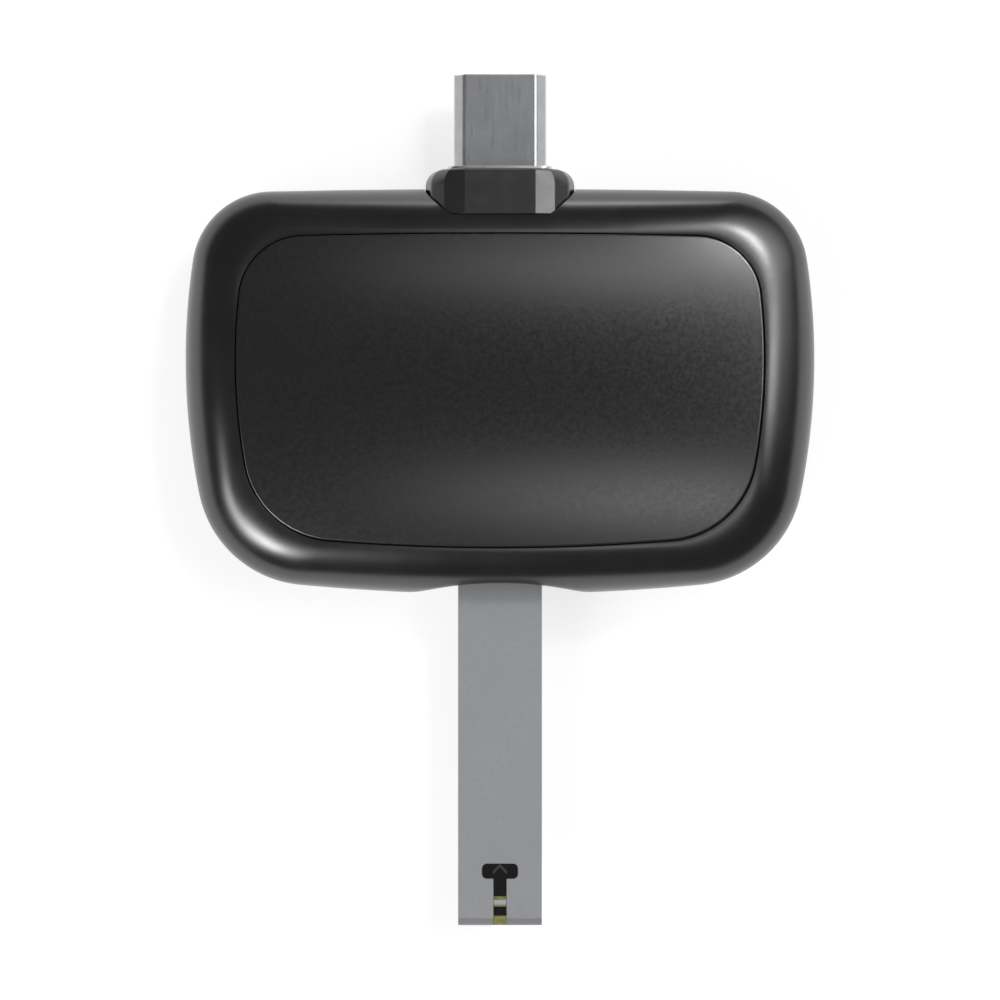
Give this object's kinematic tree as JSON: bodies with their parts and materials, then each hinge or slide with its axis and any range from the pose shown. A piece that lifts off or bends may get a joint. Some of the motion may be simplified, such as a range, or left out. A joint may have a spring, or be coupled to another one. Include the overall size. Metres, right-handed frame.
{
  "type": "blood glucose meter",
  "caption": "Pocket blood glucose meter: a rounded black dongle with a micro-USB plug on its upper edge and a slot for a test strip in its lower edge, with a strip inserted.",
  "frame": {"origin": "middle of the flat rear face that the meter rests on", "axes": "+X to the right seen from the front, +Y towards the plug, +Z out of the front face"},
  "size_m": [0.0466, 0.063, 0.0102],
  "materials": {
    "casing": "satin black",
    "casing_rear": "finely textured black",
    "panel": "matt black with a fine grain",
    "adhesive": "double-sided film",
    "label": "blank satin film",
    "screw_steel": "dark zinc",
    "boot": "satin black",
    "plug_steel": "tin-plated steel",
    "insulator": "glass-filled black",
    "gold": "gold plated",
    "spring_steel": "bright spring steel",
    "solder_mask": "green solder mask",
    "chip_epoxy": "moulded black epoxy",
    "tin": "tinned",
    "crystal_can": "nickel-plated lid",
    "capacitor_ceramic": "brown ceramic",
    "resistor_ceramic": "black glazed ceramic",
    "port_plastic": "natural glass-filled plastic",
    "strip_film": "grey polyester film",
    "strip_cover_film": "grey polyester film",
    "spacer_film": "adhesive spacer film",
    "carbon_ink": "printed carbon",
    "reagent": "dried olive reagent"
  },
  "bodies": {
    "meter": {"front_shell": "casing", "rear_shell": "casing_rear", "front_panel": "panel", "panel_tape": "adhesive", "rear_label": "label", "casing_screws": "screw_steel", "plug_boot": "boot", "plug_collar": "plug_steel", "plug_shell": "plug_steel", "plug_insulator": "insulator", "plug_contacts": "gold", "circuit_board": "solder_mask", "board_pads": "gold", "microcontroller": "chip_epoxy", "measuring_chip": "chip_epoxy", "usb_chip": "chip_epoxy", "regulator": "chip_epoxy", "chip_leads": "tin", "crystal": "crystal_can", "capacitors": "capacitor_ceramic", "resistors": "resistor_ceramic", "component_ends": "tin", "temperature_sensor": "resistor_ceramic", "strip_port": "port_plastic", "strip_contacts": "gold"},
    "strip": {"strip_base": "strip_film", "strip_electrodes": "carbon_ink", "strip_spacer": "spacer_film", "strip_cover": "strip_cover_film", "strip_channel": "carbon_ink", "strip_reagent": "reagent"},
    "left_latch": {"plug_latch_left": "spring_steel"},
    "right_latch": {"plug_latch_right": "spring_steel"}
  },
  "joints": [
    {"name": "strip_slide", "type": "slide", "parent": "meter", "child": "strip", "axis": [0, -1, 0], "range_m": [0, 0.0087]},
    {"name": "left_latch_flex", "type": "hinge", "parent": "meter", "child": "left_latch", "pos_m": [-0.00248, 0.0183, 0.0042], "axis": [1, 0, 0], "range_deg": [0, 9], "stiffness_Nm_per_rad": 0.02},
    {"name": "right_latch_flex", "type": "hinge", "parent": "meter", "child": "right_latch", "pos_m": [0.00248, 0.0183, 0.0042], "axis": [1, 0, 0], "range_deg": [0, 9], "stiffness_Nm_per_rad": 0.02}
  ]
}
